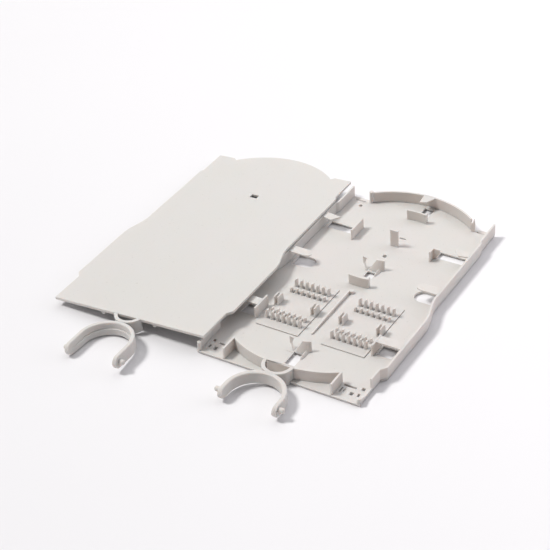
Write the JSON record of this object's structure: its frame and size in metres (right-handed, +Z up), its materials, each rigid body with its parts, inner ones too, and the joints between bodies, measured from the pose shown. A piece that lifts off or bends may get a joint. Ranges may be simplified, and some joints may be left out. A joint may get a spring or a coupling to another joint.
{
  "type": "hinged fibre splice tray with lift-off cover",
  "caption": "Flat moulded fibre splice tray with comb inserts, coil guides and a C-shaped hinge ring, its matching cover leaning beside it.",
  "frame": {"origin": "centre of the tray's underside, midway between its front and back edges", "axes": "+Z up out of the tray, +Y from the hinge ring towards the coil end, +X towards the side away from the cover"},
  "size_m": [0.2334, 0.255, 0.0148],
  "materials": {
    "tray_plastic": "fine matt moulded surface",
    "insert_plastic": "fine matt moulded surface",
    "cover_plastic": "fine matt moulded surface"
  },
  "bodies": {
    "tray": {"arc_end_post_left": "tray_plastic", "arc_end_post_right": "tray_plastic", "arc_wall": "tray_plastic", "centre_rib": "tray_plastic", "coil_guide_back": "tray_plastic", "coil_guide_front": "tray_plastic", "corner_kerb_left": "tray_plastic", "corner_kerb_right": "tray_plastic", "end_plate_left": "tray_plastic", "end_plate_right": "tray_plastic", "fin_back_left": "tray_plastic", "fin_back_right": "tray_plastic", "fin_front_left": "tray_plastic", "fin_front_right": "tray_plastic", "guide_pin_centre": "tray_plastic", "guide_pin_front": "tray_plastic", "guide_tab_centre": "tray_plastic", "guide_tab_front": "tray_plastic", "hinge_pin_left": "tray_plastic", "hinge_pin_right": "tray_plastic", "hinge_pocket": "tray_plastic", "hinge_ring": "tray_plastic", "latch_tab": "tray_plastic", "lip_arc": "tray_plastic", "lip_back_left": "tray_plastic", "lip_back_right": "tray_plastic", "lip_front_left": "tray_plastic", "lip_front_right": "tray_plastic", "lip_middle_left": "tray_plastic", "lip_middle_right": "tray_plastic", "side_wall_left": "tray_plastic", "side_wall_right": "tray_plastic", "tray_base": "tray_plastic", "wing_wall_left": "tray_plastic", "wing_wall_right": "tray_plastic"},
    "cover": {"cover_pin_left": "cover_plastic", "cover_pin_right": "cover_plastic", "cover_plate": "cover_plastic", "cover_ring": "cover_plastic", "cover_stop_left": "cover_plastic", "cover_stop_right": "cover_plastic"},
    "insert_left": {"insert_left_clip_a": "insert_plastic", "insert_left_clip_b": "insert_plastic", "insert_left_comb_back_short": "insert_plastic", "insert_left_comb_back_tall": "insert_plastic", "insert_left_comb_front_short": "insert_plastic", "insert_left_comb_front_tall": "insert_plastic", "insert_left_plate": "insert_plastic"},
    "insert_right": {"insert_right_clip_a": "insert_plastic", "insert_right_clip_b": "insert_plastic", "insert_right_comb_back_short": "insert_plastic", "insert_right_comb_back_tall": "insert_plastic", "insert_right_comb_front_short": "insert_plastic", "insert_right_comb_front_tall": "insert_plastic", "insert_right_plate": "insert_plastic"}
  },
  "joints": [
    {"name": "cover_lift", "type": "slide", "parent": "tray", "child": "cover", "axis": [0, 0, 1], "range_m": [0, 0.12]},
    {"name": "insert_left_lift", "type": "slide", "parent": "tray", "child": "insert_left", "axis": [0, 0, 1], "range_m": [0, 0.05]},
    {"name": "insert_right_lift", "type": "slide", "parent": "tray", "child": "insert_right", "axis": [0, 0, 1], "range_m": [0, 0.05]}
  ]
}
